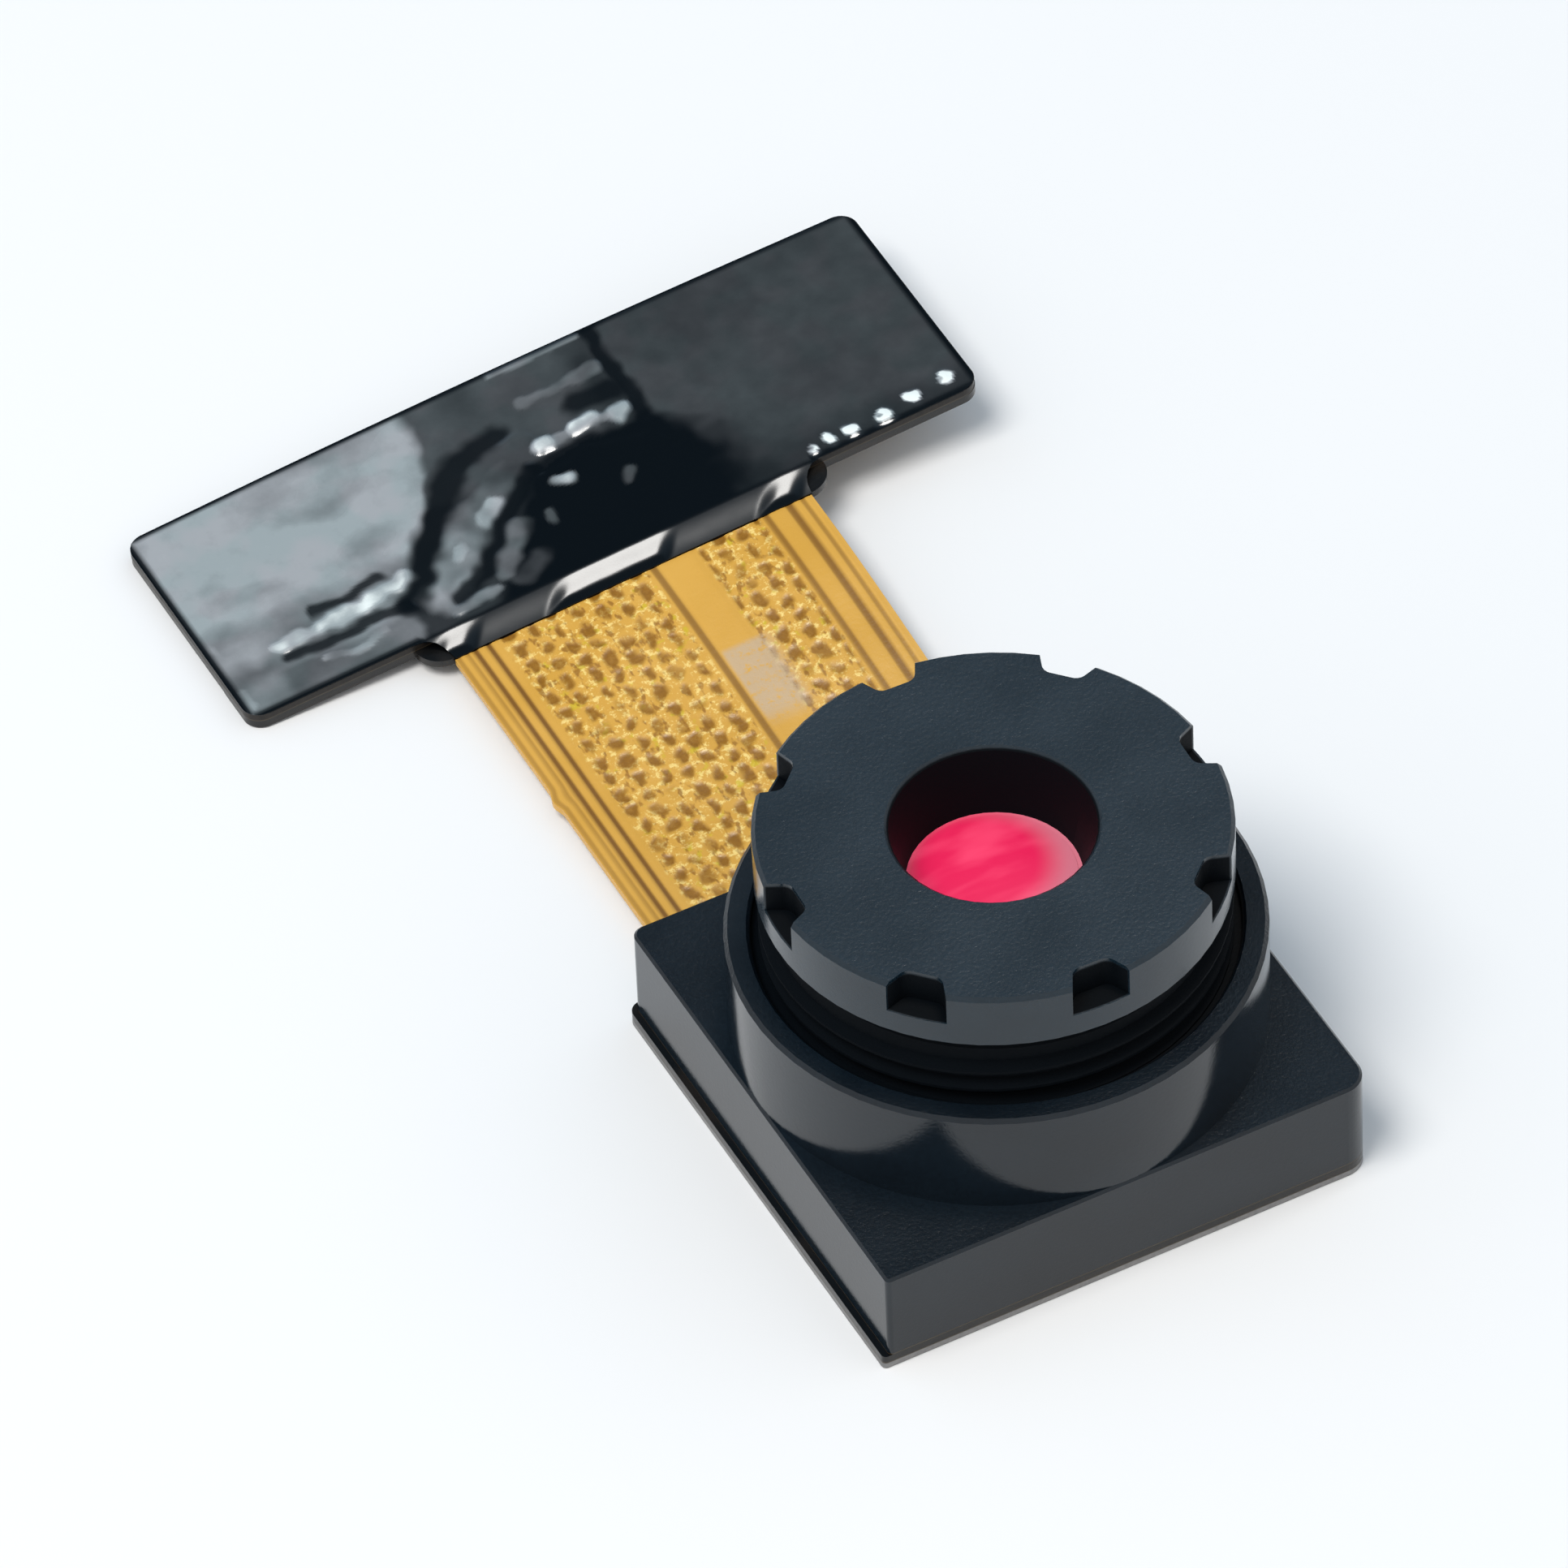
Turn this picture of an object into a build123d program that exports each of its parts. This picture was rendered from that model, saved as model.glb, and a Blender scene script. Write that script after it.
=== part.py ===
from build123d import *
from math import cos, radians, sin, tan
import os

# A fixed-board camera module on a short flex circuit: a square lens holder with a
# round collar, a screw-in lens barrel, and a T-shaped connector end with 24 contacts.
# The frame: +Z is the optical axis, +Y runs along the flex to the connector end,
# and the origin is the centre of the head's rear face.

os.makedirs("parts", exist_ok=True)

# Flex circuit
flex_thickness = 0.12
neck_width = 6.1
neck_centre_x = -0.05

# Head stack, from the rear face up
stiffener_thickness = 0.10
rear_adhesive_thickness = 0.02
flex_head_bottom = stiffener_thickness + rear_adhesive_thickness
flex_head_top = flex_head_bottom + flex_thickness
holder_adhesive_thickness = 0.02
plate_width = 8.1
plate_depth = 8.0
plate_centre_x = -0.05

# Lens holder
holder_side = 8.0
front_left_corner = 0.08
front_right_corner = 0.40
rear_corner = 0.20
holder_bottom = flex_head_top + holder_adhesive_thickness
holder_top = 1.83
holder_edge = 0.04
collar_radius = 3.97
rim_top = 3.62
rim_edge = 0.06
cavity_width = 7.2
cavity_depth = 7.0
shelf_bottom = 1.10
shelf_top = 1.25
window_side = 4.6
pocket_side = 5.6
bore_floor = 1.50
relief_radius = 3.54
relief_top = 1.92
mouth_radius = 3.58
mouth_depth = 0.20

# Focus thread, 7 mm by 0.35 mm, right-handed
thread_pitch = 0.35
thread_clearance = 0.06
barrel_root = 3.30
barrel_crest = 3.46
crest_width = 0.05
flank_angle = 30
ridge_start = 2.45
ridge_turns = 5
ridge_overlap = 0.10
groove_start = ridge_start - 2 * thread_pitch
groove_turns = 5

# Lens barrel
head_radius = 3.50
head_top = 5.67
head_bottom = 4.67
head_edge = 0.06
undercut_radius = 3.25
undercut_height = 0.17
barrel_bottom = 2.28
aperture_front = 1.52
aperture_rear = 1.29
lens_seat = 4.55
cell_radius = 2.50
notch_count = 8
notch_floor = 0.56
notch_mouth = 0.94
notch_radial = 0.38
notch_depth = 0.55
notch_corner = 0.18
notch_phase = -2

# Lens stack: outer radius, and the planes between its pieces from the front
lens_radius = 2.48
stop_front = 4.15
stop_rear = 4.10
second_rear = 3.55
third_front = 3.45
third_rear = 2.75
ring_rear = 2.40
stop_hole = 0.75
shield_hole = 1.60
ring_hole = 1.90

# Lens faces: clear radius, then the heights above the rim's plane in the middle and at that radius
first_front_face = (1.22, 0.10, 0.02)
first_rear_face = (1.30, 0.12, 0.02)
second_front_face = (1.50, -0.01, -0.15)
second_rear_face = (1.60, 0.17, 0.02)
third_front_face = (1.70, -0.02, -0.16)
third_rear_face = (1.70, -0.10, -0.02)

# Image sensor package
ball_height = 0.10
ball_radius = 0.14
ball_pitch = 0.85
ball_columns = 6
ball_rows = 7
die_width = 5.7
die_depth = 6.3
die_thickness = 0.28
dam_thickness = 0.04
dam_window_x = 4.4
dam_window_y = 3.6
cover_glass_thickness = 0.38
die_bottom = flex_head_top + ball_height
dam_bottom = die_bottom + die_thickness
glass_bottom = dam_bottom + dam_thickness

# Chip capacitors and resistors, in a row on each side of the sensor
chip_length = 0.60
chip_width = 0.30
chip_height = 0.28
chip_terminal = 0.12
chip_x = 3.22
capacitor_places = [(-chip_x, -1.8), (-chip_x, -0.6), (-chip_x, 0.6), (chip_x, -1.2), (chip_x, 0)]
resistor_places = [(-chip_x, 1.8), (chip_x, 1.2)]

# Infrared filter
filter_side = 5.4
filter_adhesive_thickness = 0.02
filter_bottom = shelf_top + filter_adhesive_thickness

# Connector end, a T-shaped bar that leans to its left end
bar_width = 12.5
bar_front = 11.94
bar_back = 16.33
bar_bow = 0.09
bar_corner = 0.30
bar_tilt = 4.58
bar_x = -0.06
tab_front = 11.45
tab_fillet = 0.45
contact_count = 24
contact_pitch = 0.5
contact_width = 0.30
contact_length = 3.1
coverlay_back = 12.9
contact_front = 13.0
contact_thickness = 0.02
stiffener_bottom = 0.16
film_bottom = 0.27
bar_thickness = 0.30
film_thickness = bar_thickness - film_bottom
slope_front = 11.60
slope_width = neck_width + tab_fillet

# Neck, which rises and twists from the head to the connector end
neck_start = plate_depth / 2
bend_start = 6.0
bend_end = 9.5
neck_stations = 4

# The bar's left end rests on the plane of the rear face.
bar_z = bar_width / 2 * sin(radians(bar_tilt))
tail_flex_bottom = contact_thickness
tail_flex_top = tail_flex_bottom + flex_thickness


def bar_plane(height):
    """The leaning plane of the connector end, at a height above its underside."""
    lean = radians(bar_tilt)
    normal = (-sin(lean), 0, cos(lean))
    origin = (bar_x + height * normal[0], 0, bar_z + height * normal[2])
    return Plane(origin=origin, x_dir=(cos(lean), 0, sin(lean)), z_dir=normal)


def neck_plane(y):
    """The section plane of the neck at y, part of the way from flat to the bar's lean."""
    share = (y - neck_start) / (tab_front - neck_start)
    ease = share * share * (3 - 2 * share)
    lean = radians(bar_tilt) * ease
    end = bar_plane(tail_flex_bottom + flex_thickness / 2).origin
    head_z = flex_head_bottom + flex_thickness / 2
    x = neck_centre_x + (end.X - neck_centre_x) * ease
    z = head_z + (end.Z - head_z) * ease
    return Plane(origin=(x, y, z), x_dir=(cos(lean), 0, sin(lean)), z_dir=(0, 1, 0))


def neck_sections(first, last):
    """Sections of the neck at even stations, ready for a loft."""
    sections = []
    for station in range(neck_stations):
        y = first + (last - first) * station / (neck_stations - 1)
        with BuildSketch(neck_plane(y)) as section:
            Rectangle(neck_width, flex_thickness)
        sections.append(section.sketch.face())
    return sections


def sketch_bar(height):
    """The bar's outline with rounded corners and a slightly bowed rear edge."""
    half = bar_width / 2
    with BuildSketch(bar_plane(height)) as outline:
        with BuildLine():
            Polyline(
                (-half, bar_back - bar_bow),
                (-half, bar_front),
                (half, bar_front),
                (half, bar_back - bar_bow),
            )
            ThreePointArc((half, bar_back - bar_bow), (0, bar_back), (-half, bar_back - bar_bow))
        make_face()
        fillet(outline.vertices(), bar_corner)
    return outline


def sketch_tee(height):
    """The bar's outline joined to the neck by a short tab with round inner corners."""
    half = neck_width / 2
    left = neck_centre_x - bar_x - half
    right = neck_centre_x - bar_x + half
    with BuildSketch(bar_plane(height)) as outline:
        add(sketch_bar(height).sketch_local)
        with BuildLine():
            Line((left, tab_front), (right, tab_front))
            Line((right, tab_front), (right, bar_front - tab_fillet))
            RadiusArc((right, bar_front - tab_fillet), (right + tab_fillet, bar_front), -tab_fillet)
            Line((right + tab_fillet, bar_front), (right + tab_fillet, bar_front + tab_fillet))
            Line((right + tab_fillet, bar_front + tab_fillet), (left - tab_fillet, bar_front + tab_fillet))
            Line((left - tab_fillet, bar_front + tab_fillet), (left - tab_fillet, bar_front))
            RadiusArc((left - tab_fillet, bar_front), (left, bar_front - tab_fillet), -tab_fillet)
            Line((left, bar_front - tab_fillet), (left, tab_front))
        make_face()
    return outline


def thread_coil(root, crest, growth, start, turns):
    """A helical ridge from inside the root radius to the crest, wider by growth on each flank."""
    slope = tan(radians(flank_angle))
    root_half = crest_width / 2 + (barrel_crest - root) * slope + growth
    crest_half = crest_width / 2 + (barrel_crest - crest) * slope + growth
    with BuildPart(mode=Mode.PRIVATE) as coil:
        with BuildLine():
            Helix(pitch=thread_pitch, height=thread_pitch * turns, radius=root, center=(0, 0, start))
        with BuildSketch(Plane.XZ):
            with BuildLine():
                Polyline(
                    (root, start - root_half),
                    (crest, start - crest_half),
                    (crest, start + crest_half),
                    (root, start + root_half),
                    close=True,
                )
            make_face()
        sweep(is_frenet=True)
    return coil.part


def sketch_square(width, depth, centre_x, height):
    """The outline of the head, with a nearly sharp corner at the front left and a full one at the right."""
    with BuildSketch(Plane.XY.offset(height)) as outline:
        with Locations((centre_x, 0)):
            Rectangle(width, depth)
        fillet(outline.vertices().group_by(Axis.Y)[0].sort_by(Axis.X)[0], front_left_corner)
        fillet(outline.vertices().group_by(Axis.Y)[0].sort_by(Axis.X)[-1], front_right_corner)
        fillet(outline.vertices().group_by(Axis.Y)[-1], rear_corner)
    return outline.sketch


def sketch_notch():
    """One notch seen along the axis: wider at its mouth, with round corners at its floor."""
    floor_half = notch_floor / 2
    outer_half = notch_mouth - floor_half
    with BuildSketch(mode=Mode.PRIVATE) as notch:
        with BuildLine():
            Polyline(
                (-notch_radial, floor_half),
                (notch_radial, outer_half),
                (notch_radial, -outer_half),
                (-notch_radial, -floor_half),
                close=True,
            )
        make_face()
        fillet(notch.vertices().group_by(Axis.X)[0], notch_corner)
    return notch.sketch


def sketch_lens(front, rear, front_face, rear_face):
    """Half the section of a lens: a flat rim and an optical face on each side."""
    front_clear, front_apex, front_edge = front_face
    rear_clear, rear_apex, rear_edge = rear_face
    with BuildSketch(Plane.XZ) as section:
        with BuildLine():
            TangentArc((0, front + front_apex), (front_clear, front + front_edge), tangent=(1, 0))
            Polyline(
                (front_clear, front + front_edge),
                (front_clear, front),
                (lens_radius, front),
                (lens_radius, rear),
                (rear_clear, rear),
                (rear_clear, rear + rear_edge),
            )
            TangentArc((0, rear + rear_apex), (rear_clear, rear + rear_edge), tangent=(1, 0))
            Line((0, rear + rear_apex), (0, front + front_apex))
        make_face()
    return section.sketch


def sketch_ring(height, outer, inner):
    """A flat ring in the plane at a height."""
    with BuildSketch(Plane.XY.offset(height)) as ring:
        Circle(outer)
        Circle(inner, mode=Mode.SUBTRACT)
    return ring.sketch


def sketch_chip_bodies(places):
    """The plain middles of the chips at the given places."""
    with BuildSketch(Plane.XY.offset(flex_head_top)) as bodies:
        with Locations(*places):
            Rectangle(chip_width, chip_length - 2 * chip_terminal)
    return bodies.sketch


def sketch_chip_ends(places):
    """The metal ends of the chips at the given places."""
    reach = (chip_length - chip_terminal) / 2
    with BuildSketch(Plane.XY.offset(flex_head_top)) as ends:
        with Locations(*[(x, y + side * reach) for x, y in places for side in (-1, 1)]):
            Rectangle(chip_width, chip_terminal)
    return ends.sketch


# Rear stiffener: a thin steel plate that keeps the flex circuit flat
with BuildPart() as rear_stiffener:
    add(sketch_square(plate_width, plate_depth, plate_centre_x, 0))
    extrude(amount=stiffener_thickness)
rear_stiffener.part.label = "rear_stiffener"
export_step(rear_stiffener.part, "parts/rear_stiffener.step")

# Rear adhesive: the film that bonds the stiffener to the flex circuit
with BuildPart() as rear_adhesive:
    add(sketch_square(plate_width, plate_depth, plate_centre_x, stiffener_thickness))
    extrude(amount=rear_adhesive_thickness)
rear_adhesive.part.label = "rear_adhesive"
export_step(rear_adhesive.part, "parts/rear_adhesive.step")

# Flex head: the square end of the flex circuit, under the lens holder
with BuildPart() as flex_head:
    add(sketch_square(plate_width, plate_depth, plate_centre_x, flex_head_bottom))
    extrude(amount=flex_thickness)
flex_head.part.label = "flex_head"
export_step(flex_head.part, "parts/flex_head.step")

# Holder adhesive: a square ring under the holder's walls
with BuildPart() as holder_adhesive:
    add(sketch_square(holder_side, holder_side, 0, flex_head_top))
    extrude(amount=holder_adhesive_thickness)
    with BuildSketch(Plane.XY.offset(flex_head_top)):
        Rectangle(cavity_width, cavity_depth)
    extrude(amount=holder_adhesive_thickness, mode=Mode.SUBTRACT)
holder_adhesive.part.label = "holder_adhesive"
export_step(holder_adhesive.part, "parts/holder_adhesive.step")

# Lens holder: a square base and a round collar, with the focus thread in its bore
with BuildPart() as lens_holder:
    add(sketch_square(holder_side, holder_side, 0, holder_bottom))
    extrude(amount=holder_top - holder_bottom)
    chamfer(lens_holder.faces().sort_by(Axis.Z)[-1].edges(), holder_edge)
    with BuildSketch(Plane.XY.offset(holder_top)):
        Circle(collar_radius)
    extrude(amount=rim_top - holder_top)
    chamfer(lens_holder.faces().sort_by(Axis.Z)[-1].edges(), rim_edge)
    with BuildSketch(Plane.XY.offset(holder_bottom)):
        Rectangle(cavity_width, cavity_depth)
    extrude(amount=shelf_bottom - holder_bottom, mode=Mode.SUBTRACT)
    with BuildSketch(Plane.XY.offset(shelf_bottom)):
        Rectangle(window_side, window_side)
    extrude(amount=shelf_top - shelf_bottom, mode=Mode.SUBTRACT)
    with BuildSketch(Plane.XY.offset(shelf_top)):
        Rectangle(pocket_side, pocket_side)
    extrude(amount=bore_floor - shelf_top, mode=Mode.SUBTRACT)
    with BuildSketch(Plane.XZ):
        with BuildLine():
            Polyline(
                (0, bore_floor),
                (relief_radius, bore_floor),
                (relief_radius, relief_top - relief_radius + barrel_root + thread_clearance),
                (barrel_root + thread_clearance, relief_top),
                (barrel_root + thread_clearance, rim_top - mouth_depth),
                (mouth_radius, rim_top - mouth_depth),
                (mouth_radius, rim_top - rim_edge),
                (mouth_radius + rim_edge, rim_top),
                (0, rim_top),
                close=True,
            )
        make_face()
    revolve(mode=Mode.SUBTRACT)
    groove_crest = barrel_crest + thread_clearance
    add(
        thread_coil(barrel_root, groove_crest, thread_clearance, groove_start, groove_turns),
        mode=Mode.SUBTRACT,
    )
lens_holder.part.label = "lens_holder"
export_step(lens_holder.part, "parts/lens_holder.step")

# Lens barrel: a notched head for the focus key, and a threaded body that screws into the holder
with BuildPart() as lens_barrel:
    with BuildSketch(Plane.XZ):
        with BuildLine():
            Polyline(
                (aperture_rear, lens_seat),
                (aperture_front, head_top - head_edge),
                (aperture_front + head_edge, head_top),
                (head_radius - head_edge, head_top),
                (head_radius, head_top - head_edge),
                (head_radius, head_bottom + head_edge),
                (head_radius - head_edge, head_bottom),
                (undercut_radius, head_bottom),
                (undercut_radius, head_bottom - undercut_height),
                (barrel_root, head_bottom - undercut_height - head_edge),
                (barrel_root, barrel_bottom + head_edge),
                (barrel_root - head_edge, barrel_bottom),
                (cell_radius, barrel_bottom),
                (cell_radius, lens_seat),
                close=True,
            )
        make_face()
    revolve()
    add(thread_coil(barrel_root - ridge_overlap, barrel_crest, 0, ridge_start, ridge_turns))
    with BuildSketch(Plane.XY.offset(head_top)):
        with PolarLocations(head_radius, notch_count, start_angle=notch_phase):
            add(sketch_notch())
    extrude(amount=-notch_depth, mode=Mode.SUBTRACT)
lens_barrel.part.label = "lens_barrel"
export_step(lens_barrel.part, "parts/lens_barrel.step")

# Front lens: the coated element that shows in the aperture
with BuildPart() as front_lens:
    add(sketch_lens(lens_seat, stop_front, first_front_face, first_rear_face))
    revolve()
front_lens.part.label = "front_lens"
export_step(front_lens.part, "parts/front_lens.step")

# Aperture stop: a black foil ring behind the front lens
with BuildPart() as aperture_stop:
    add(sketch_ring(stop_rear, lens_radius, stop_hole))
    extrude(amount=stop_front - stop_rear)
aperture_stop.part.label = "aperture_stop"
export_step(aperture_stop.part, "parts/aperture_stop.step")

# Second lens: the negative element behind the stop
with BuildPart() as second_lens:
    add(sketch_lens(stop_rear, second_rear, second_front_face, second_rear_face))
    revolve()
second_lens.part.label = "second_lens"
export_step(second_lens.part, "parts/second_lens.step")

# Light shield: a black ring that keeps stray light out of the third lens
with BuildPart() as light_shield:
    add(sketch_ring(third_front, lens_radius, shield_hole))
    extrude(amount=second_rear - third_front)
light_shield.part.label = "light_shield"
export_step(light_shield.part, "parts/light_shield.step")

# Third lens: the rear element that flattens the image
with BuildPart() as third_lens:
    add(sketch_lens(third_front, third_rear, third_front_face, third_rear_face))
    revolve()
third_lens.part.label = "third_lens"
export_step(third_lens.part, "parts/third_lens.step")

# Retaining ring: pressed in behind the third lens to hold the stack
with BuildPart() as retaining_ring:
    add(sketch_ring(ring_rear, lens_radius, ring_hole))
    extrude(amount=third_rear - ring_rear)
    chamfer(retaining_ring.edges().filter_by(GeomType.CIRCLE).group_by(Axis.Z)[0], head_edge)
retaining_ring.part.label = "retaining_ring"
export_step(retaining_ring.part, "parts/retaining_ring.step")

# Solder balls: the grid that joins the sensor package to the flex circuit
with BuildPart() as solder_balls:
    with BuildSketch(Plane.XY.offset(flex_head_top)):
        with GridLocations(ball_pitch, ball_pitch, ball_columns, ball_rows):
            Circle(ball_radius)
    extrude(amount=ball_height)
solder_balls.part.label = "solder_balls"
export_step(solder_balls.part, "parts/solder_balls.step")

# Sensor die: the silicon chip with the pixels
with BuildPart() as sensor_die:
    with BuildSketch(Plane.XY.offset(die_bottom)):
        Rectangle(die_width, die_depth)
    extrude(amount=die_thickness)
sensor_die.part.label = "sensor_die"
export_step(sensor_die.part, "parts/sensor_die.step")

# Sensor dam: the frame that holds the cover glass off the pixels
with BuildPart() as sensor_dam:
    with BuildSketch(Plane.XY.offset(dam_bottom)):
        Rectangle(die_width, die_depth)
        Rectangle(dam_window_x, dam_window_y, mode=Mode.SUBTRACT)
    extrude(amount=dam_thickness)
sensor_dam.part.label = "sensor_dam"
export_step(sensor_dam.part, "parts/sensor_dam.step")

# Sensor cover glass: seals the package over the pixels
with BuildPart() as sensor_cover_glass:
    with BuildSketch(Plane.XY.offset(glass_bottom)):
        Rectangle(die_width, die_depth)
    extrude(amount=cover_glass_thickness)
sensor_cover_glass.part.label = "sensor_cover_glass"
export_step(sensor_cover_glass.part, "parts/sensor_cover_glass.step")

# Chip capacitors: their ceramic bodies
with BuildPart() as chip_capacitors:
    add(sketch_chip_bodies(capacitor_places))
    extrude(amount=chip_height)
chip_capacitors.part.label = "chip_capacitors"
export_step(chip_capacitors.part, "parts/chip_capacitors.step")

# Chip resistors: their ceramic bodies
with BuildPart() as chip_resistors:
    add(sketch_chip_bodies(resistor_places))
    extrude(amount=chip_height)
chip_resistors.part.label = "chip_resistors"
export_step(chip_resistors.part, "parts/chip_resistors.step")

# Chip terminals: the tinned ends of all the chips
with BuildPart() as chip_terminals:
    add(sketch_chip_ends(capacitor_places + resistor_places))
    extrude(amount=chip_height)
chip_terminals.part.label = "chip_terminals"
export_step(chip_terminals.part, "parts/chip_terminals.step")

# Filter adhesive: a thin square ring on the holder's shelf
with BuildPart() as filter_adhesive:
    with BuildSketch(Plane.XY.offset(shelf_top)):
        Rectangle(filter_side, filter_side)
        Rectangle(window_side, window_side, mode=Mode.SUBTRACT)
    extrude(amount=filter_adhesive_thickness)
filter_adhesive.part.label = "filter_adhesive"
export_step(filter_adhesive.part, "parts/filter_adhesive.step")

# Infrared filter: the coated glass behind the lens
with BuildPart() as infrared_filter:
    with BuildSketch(Plane.XY.offset(filter_bottom)):
        Rectangle(filter_side, filter_side)
    extrude(amount=bore_floor - filter_bottom)
infrared_filter.part.label = "infrared_filter"
export_step(infrared_filter.part, "parts/infrared_filter.step")

# Neck: the bare length of flex, in a head end, the stretch that bends and a connector end
with BuildPart() as neck_head_end:
    loft(sections=neck_sections(neck_start, bend_start))
neck_head_end.part.label = "neck_head_end"
export_step(neck_head_end.part, "parts/neck_head_end.step")

with BuildPart() as neck_bend:
    loft(sections=neck_sections(bend_start, bend_end))
neck_bend.part.label = "neck_bend"
export_step(neck_bend.part, "parts/neck_bend.step")

with BuildPart() as neck_connector_end:
    loft(sections=neck_sections(bend_end, tab_front))
neck_connector_end.part.label = "neck_connector_end"
export_step(neck_connector_end.part, "parts/neck_connector_end.step")

# Flex tail: the T-shaped end of the flex circuit
with BuildPart() as flex_tail:
    add(sketch_tee(tail_flex_bottom).sketch)
    extrude(amount=flex_thickness)
flex_tail.part.label = "flex_tail"
export_step(flex_tail.part, "parts/flex_tail.step")

# Tail coverlay: the insulating film on the underside, in front of the contacts
with BuildPart() as tail_coverlay:
    with BuildSketch(bar_plane(0)):
        add(sketch_bar(0).sketch_local)
        with Locations((0, (bar_front + coverlay_back) / 2)):
            Rectangle(bar_width, coverlay_back - bar_front, mode=Mode.INTERSECT)
    extrude(amount=contact_thickness)
tail_coverlay.part.label = "tail_coverlay"
export_step(tail_coverlay.part, "parts/tail_coverlay.step")

# Contact fingers: gold-plated pads on the underside of the connector end
with BuildPart() as contact_fingers:
    with BuildSketch(bar_plane(0)):
        with Locations((0, contact_front + contact_length / 2)):
            with GridLocations(contact_pitch, 0, contact_count, 1):
                Rectangle(contact_width, contact_length)
    extrude(amount=contact_thickness)
contact_fingers.part.label = "contact_fingers"
export_step(contact_fingers.part, "parts/contact_fingers.step")

# Stiffener adhesive, between the flex tail and its stiffener
with BuildPart() as stiffener_adhesive:
    add(sketch_bar(tail_flex_top).sketch)
    extrude(amount=stiffener_bottom - tail_flex_top)
stiffener_adhesive.part.label = "stiffener_adhesive"
export_step(stiffener_adhesive.part, "parts/stiffener_adhesive.step")

# Connector stiffener: brings the connector end up to its socket's thickness
with BuildPart() as connector_stiffener:
    add(sketch_bar(stiffener_bottom).sketch)
    extrude(amount=film_bottom - stiffener_bottom)
connector_stiffener.part.label = "connector_stiffener"
export_step(connector_stiffener.part, "parts/connector_stiffener.step")

# Shield film: black film over the bar, which slopes down onto the start of the neck
with BuildPart() as shield_film:
    add(sketch_bar(film_bottom).sketch)
    extrude(amount=film_thickness)
    slope_plane = Plane(
        origin=bar_plane(0).from_local_coords((-slope_width / 2, 0, 0)),
        x_dir=(0, 1, 0),
        z_dir=bar_plane(0).x_dir,
    )
    with BuildSketch(slope_plane):
        with BuildLine():
            Polyline(
                (bar_front, film_bottom),
                (bar_front, bar_thickness),
                (slope_front, tail_flex_top + film_thickness),
                (tab_front, tail_flex_top + film_thickness),
                (tab_front, tail_flex_top),
                (slope_front, tail_flex_top),
                close=True,
            )
        make_face()
    extrude(amount=slope_width)
shield_film.part.label = "shield_film"
export_step(shield_film.part, "parts/shield_film.step")
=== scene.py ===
import math

import bmesh
import bpy
from mathutils import Matrix, Vector, noise as field_noise


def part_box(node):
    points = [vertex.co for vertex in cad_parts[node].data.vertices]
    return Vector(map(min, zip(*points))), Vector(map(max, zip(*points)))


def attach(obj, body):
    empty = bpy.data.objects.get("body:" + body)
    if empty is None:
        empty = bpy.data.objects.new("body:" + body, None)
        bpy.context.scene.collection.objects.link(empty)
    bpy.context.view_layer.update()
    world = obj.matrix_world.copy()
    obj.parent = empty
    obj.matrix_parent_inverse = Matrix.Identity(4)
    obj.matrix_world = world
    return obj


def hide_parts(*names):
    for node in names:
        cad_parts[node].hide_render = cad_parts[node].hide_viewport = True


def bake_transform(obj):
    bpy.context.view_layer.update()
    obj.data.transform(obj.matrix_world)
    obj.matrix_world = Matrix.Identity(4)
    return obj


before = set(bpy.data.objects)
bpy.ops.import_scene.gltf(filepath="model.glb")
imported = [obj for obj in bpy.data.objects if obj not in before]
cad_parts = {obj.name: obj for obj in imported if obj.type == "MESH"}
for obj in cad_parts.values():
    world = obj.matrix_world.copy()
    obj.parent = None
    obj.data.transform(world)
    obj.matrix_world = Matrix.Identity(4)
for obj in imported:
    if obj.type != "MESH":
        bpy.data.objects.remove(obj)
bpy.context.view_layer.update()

# ---------------------------------------------------------------------------
# Rear stiffener and its adhesive
# A square of thin rolled steel behind the head, stamped out and bonded to the
# flex circuit with a film adhesive. Only its edge shows when the head stands.
# ---------------------------------------------------------------------------

MM = 0.001


def display(red, green, blue):
    """A colour given as it looks on a screen, 0 to 255, as the linear values that a shader takes."""
    linear = []
    for value in (red, green, blue):
        share = value / 255
        linear.append(share / 12.92 if share <= 0.04045 else ((share + 0.055) / 1.055) ** 2.4)
    return (*linear, 1.0)


def feed(tree, socket, value):
    """Link a socket to another, or set it to a constant."""
    if isinstance(value, bpy.types.NodeSocket):
        tree.links.new(value, socket)
    else:
        socket.default_value = value


def calc(tree, operation, *values):
    """One Math node; each value is a socket or a number."""
    node = tree.nodes.new("ShaderNodeMath")
    node.operation = operation
    for socket, value in zip(node.inputs, values):
        feed(tree, socket, value)
    return node.outputs[0]


def ramp(tree, value, low, high):
    """A smooth step from 0 at low to 1 at high."""
    node = tree.nodes.new("ShaderNodeMapRange")
    node.interpolation_type = "SMOOTHSTEP"
    feed(tree, node.inputs["Value"], value)
    feed(tree, node.inputs["From Min"], low)
    feed(tree, node.inputs["From Max"], high)
    return node.outputs["Result"]


def between(tree, value, low, high):
    """Carry a value in 0 to 1 over to the span from low to high."""
    node = tree.nodes.new("ShaderNodeMapRange")
    feed(tree, node.inputs["Value"], value)
    feed(tree, node.inputs["To Min"], low)
    feed(tree, node.inputs["To Max"], high)
    return node.outputs["Result"]


def tint(tree, share, first, second):
    """A colour between two, by a share from 0 to 1."""
    node = tree.nodes.new("ShaderNodeMix")
    node.data_type = "RGBA"
    feed(tree, node.inputs[0], share)
    feed(tree, node.inputs[6], first)
    feed(tree, node.inputs[7], second)
    return node.outputs[2]


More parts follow.
